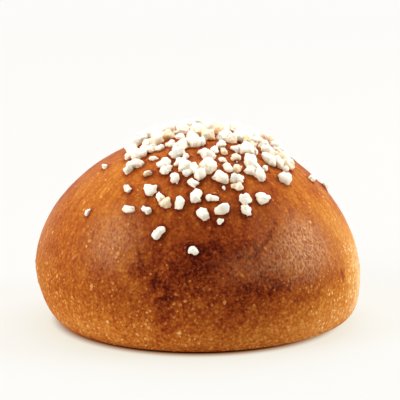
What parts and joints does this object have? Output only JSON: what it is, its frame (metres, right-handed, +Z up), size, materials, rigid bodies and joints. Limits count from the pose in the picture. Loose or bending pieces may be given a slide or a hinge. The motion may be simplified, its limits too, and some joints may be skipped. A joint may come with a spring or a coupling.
{
  "type": "sugar brioche",
  "caption": "Round baked bun of enriched dough: domed egg-washed crust, pearl sugar nibs on its crown, flat base to stand on.",
  "frame": {"origin": "centre of the flat base, on the surface that the bun stands on", "axes": "+Z up through the crown, -Y towards the shown front, +X to its right"},
  "size_m": [0.0977, 0.0928, 0.0598],
  "materials": {
    "crust": "baked enriched dough crust, golden brown to chestnut, egg-washed to a soft gloss above and dry below",
    "pearl_sugar": "opaque white pressed sugar, dull, warmed at its edges by the oven"
  },
  "bodies": {
    "root": {"sugar_brioche": "crust"}
  },
  "joints": []
}
